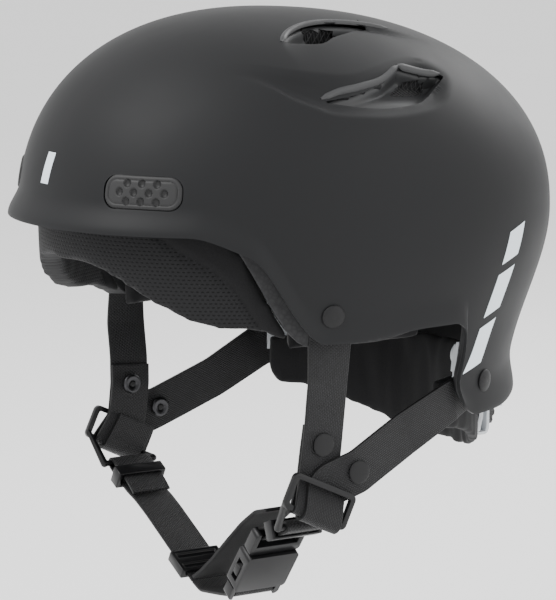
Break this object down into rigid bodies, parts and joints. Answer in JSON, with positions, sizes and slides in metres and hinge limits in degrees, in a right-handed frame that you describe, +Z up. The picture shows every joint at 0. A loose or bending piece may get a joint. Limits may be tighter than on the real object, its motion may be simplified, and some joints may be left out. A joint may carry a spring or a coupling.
{
  "type": "water helmet",
  "caption": "Hard-shell water sports helmet with foam liner, plugged forehead vents, riveted webbing harness with side-release buckle, side pads and a dial-fitted nape cradle.",
  "frame": {"origin": "on the mid-plane, level with the widest part of the dome, at the middle of the space for the head", "axes": "+Z up through the crown, -Y towards the front edge, +X to the wearer's left"},
  "size_m": [0.2218, 0.283, 0.2896],
  "materials": {
    "shell_plastic": "matte moulded shell",
    "liner_foam": "dark moulded foam",
    "knit_padding": "knitted mesh over foam",
    "smooth_padding": "smooth brushed lining",
    "soft_rubber": "soft moulded rubber",
    "vent_mesh": "open mesh",
    "rivet_plastic": "matte coated cap",
    "plated_metal": "plated steel",
    "dark_metal": "blackened steel",
    "webbing": "woven webbing",
    "buckle_plastic": "satin moulded plastic",
    "fit_plastic": "light grey flexible plastic"
  },
  "bodies": {
    "helmet": {"outer_shell": "shell_plastic", "shock_liner": "liner_foam", "forehead_pad": "knit_padding", "crown_pad": "knit_padding", "rear_pad": "knit_padding", "side_pad_left": "smooth_padding", "side_pad_right": "smooth_padding", "vent_plug_left": "soft_rubber", "vent_plug_right": "soft_rubber", "vent_mesh_left": "vent_mesh", "vent_mesh_right": "vent_mesh", "strap_rivets": "rivet_plastic", "rivet_washers": "plated_metal", "front_strap_left": "webbing", "front_strap_right": "webbing", "rear_strap_left": "webbing", "rear_strap_right": "webbing", "snap_caps": "rivet_plastic", "snap_sockets": "dark_metal", "strap_ring_left": "buckle_plastic", "strap_ring_right": "buckle_plastic", "chin_link_left": "buckle_plastic", "chin_link_right": "buckle_plastic", "chin_strap_left": "webbing", "chin_strap_right": "webbing", "chin_flap": "smooth_padding", "buckle_plug": "buckle_plastic", "fit_anchor_left": "fit_plastic", "fit_anchor_right": "fit_plastic"},
    "adjuster": {"strap_adjuster": "buckle_plastic"},
    "latch_front": {"latch_arm_front": "buckle_plastic"},
    "latch_rear": {"latch_arm_rear": "buckle_plastic"},
    "socket_half": {"buckle_socket": "buckle_plastic", "socket_strap": "webbing"},
    "fit_arms": {"fit_arm_left": "fit_plastic", "fit_arm_right": "fit_plastic"},
    "cradle": {"fit_cradle": "fit_plastic", "nape_pad": "smooth_padding", "dial_housing": "fit_plastic", "dial_screw": "plated_metal", "click_spring": "plated_metal"},
    "dial": {"dial_knob": "soft_rubber"},
    "rack_left": {"fit_rack_left": "fit_plastic"},
    "rack_right": {"fit_rack_right": "fit_plastic"}
  },
  "joints": [
    {"name": "cradle_tilt", "type": "hinge", "parent": "helmet", "child": "fit_arms", "pos_m": [0, 0.056, -0.068], "axis": [1, 0, 0], "range_deg": [-10, 0]},
    {"name": "cradle_draw", "type": "slide", "parent": "fit_arms", "child": "cradle", "axis": [0, -1, 0], "range_m": [0, 0.009], "deforming": ["fit_arm_left", "fit_arm_right"]},
    {"name": "dial_turn", "type": "hinge", "parent": "cradle", "child": "dial", "pos_m": [0, 0.12, -0.112], "axis": [0, -1, 0], "range_deg": [0, 120], "deforming": ["click_spring"]},
    {"name": "rack_left_slide", "type": "slide", "parent": "cradle", "child": "rack_left", "axis": [-1, 0, 0], "range_m": [0, 0.0106]},
    {"name": "rack_right_slide", "type": "slide", "parent": "cradle", "child": "rack_right", "axis": [1, 0, 0], "range_m": [0, 0.0106]},
    {"name": "buckle_release", "type": "slide", "parent": "helmet", "child": "socket_half", "axis": [-0.6018, 0, -0.7986], "range_m": [0, 0.026], "deforming": ["socket_strap"]},
    {"name": "latch_front_press", "type": "hinge", "parent": "helmet", "child": "latch_front", "pos_m": [0.0567, -0.0518, -0.157], "axis": [0.7986, 0, -0.6018], "range_deg": [0, 6], "stiffness_Nm_per_rad": 0.6, "deforming": ["latch_arm_front"]},
    {"name": "latch_rear_press", "type": "hinge", "parent": "helmet", "child": "latch_rear", "pos_m": [0.0567, -0.0342, -0.157], "axis": [-0.7986, 0, 0.6018], "range_deg": [0, 6], "stiffness_Nm_per_rad": 0.6, "deforming": ["latch_arm_rear"]},
    {"name": "adjuster_slide", "type": "slide", "parent": "helmet", "child": "adjuster", "axis": [-0.8794, 0, 0.4761], "range_m": [0, 0.024]}
  ],
  "couplings": [
    {"joint": "cradle_draw", "follows": "dial_turn", "m_per_rad": 0.0042},
    {"joint": "rack_left_slide", "follows": "dial_turn", "m_per_rad": 0.005},
    {"joint": "rack_right_slide", "follows": "dial_turn", "m_per_rad": 0.005}
  ]
}
